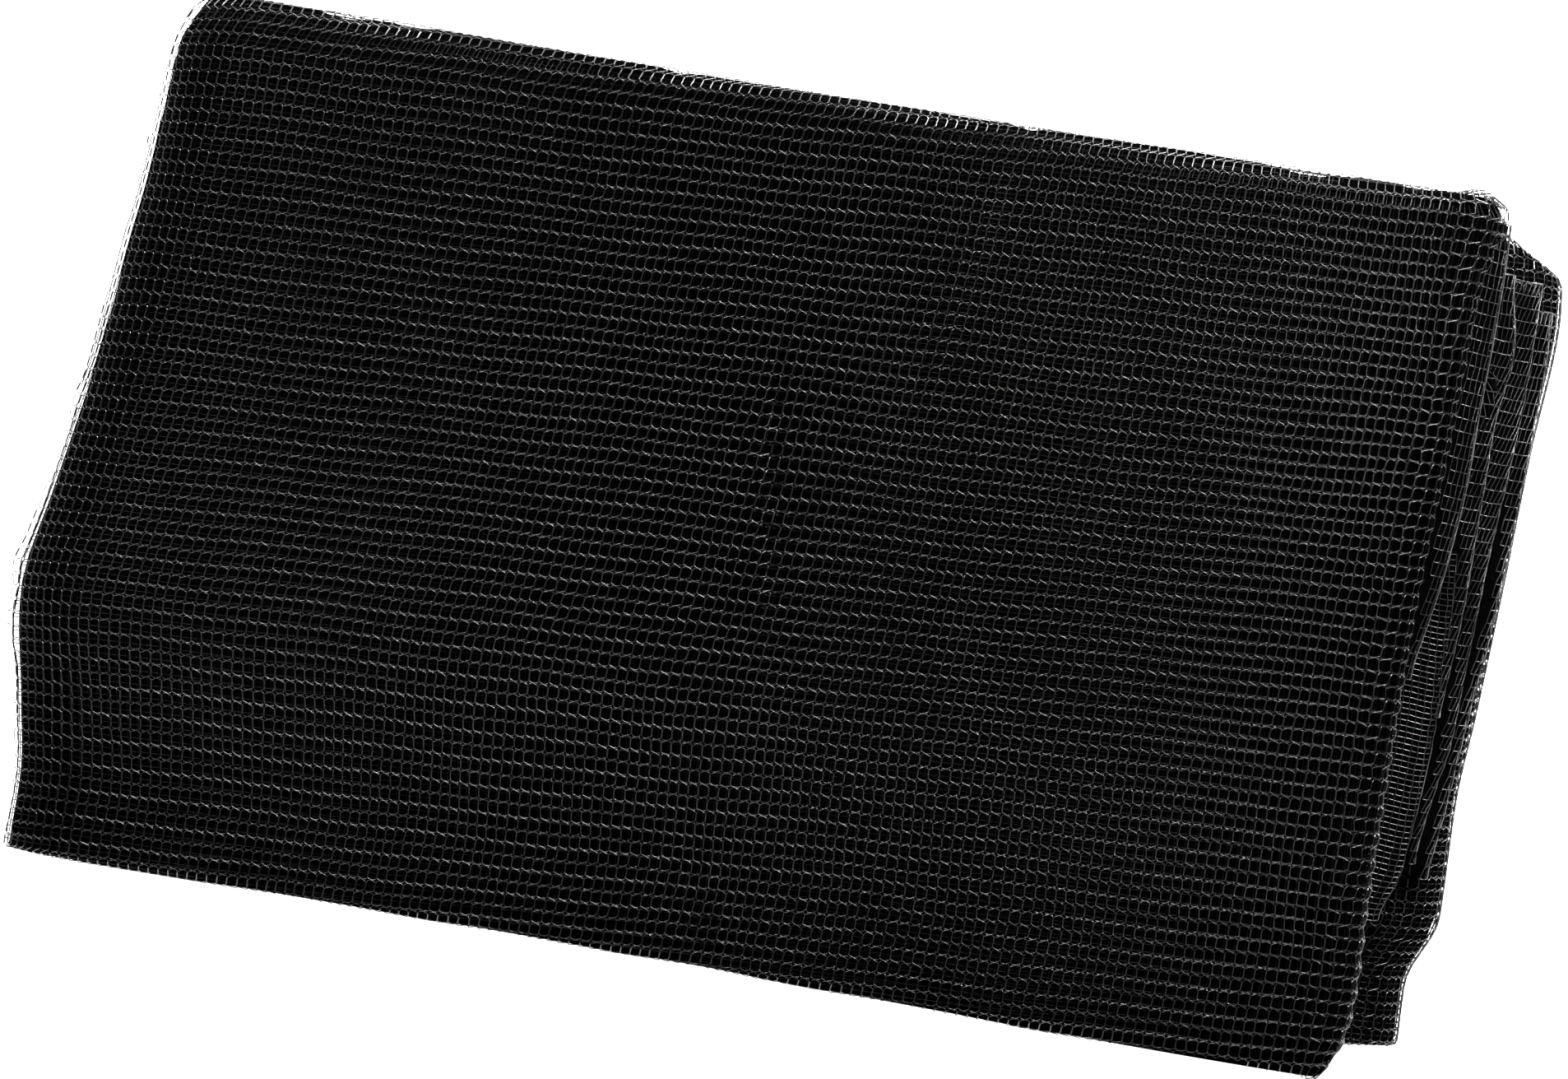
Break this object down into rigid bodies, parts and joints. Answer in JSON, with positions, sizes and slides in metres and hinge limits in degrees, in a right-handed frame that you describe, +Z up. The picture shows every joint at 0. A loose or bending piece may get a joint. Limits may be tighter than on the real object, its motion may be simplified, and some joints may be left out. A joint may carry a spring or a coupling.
{
  "type": "window insect screen netting, folded",
  "caption": "Fine black mesh netting for a window insect screen, folded into a flat packet that lies on a surface.",
  "frame": {"origin": "middle of the packet's footprint, on the surface it lies on", "axes": "+Z up, +X along the packet's long side, +Y across it from the near to the far long edge"},
  "size_m": [0.2208, 0.1332, 0.0263],
  "materials": {
    "netting": "black knitted polyester mesh with a soft sheen on the yarn"
  },
  "bodies": {
    "root": {"net": "netting"}
  },
  "joints": []
}
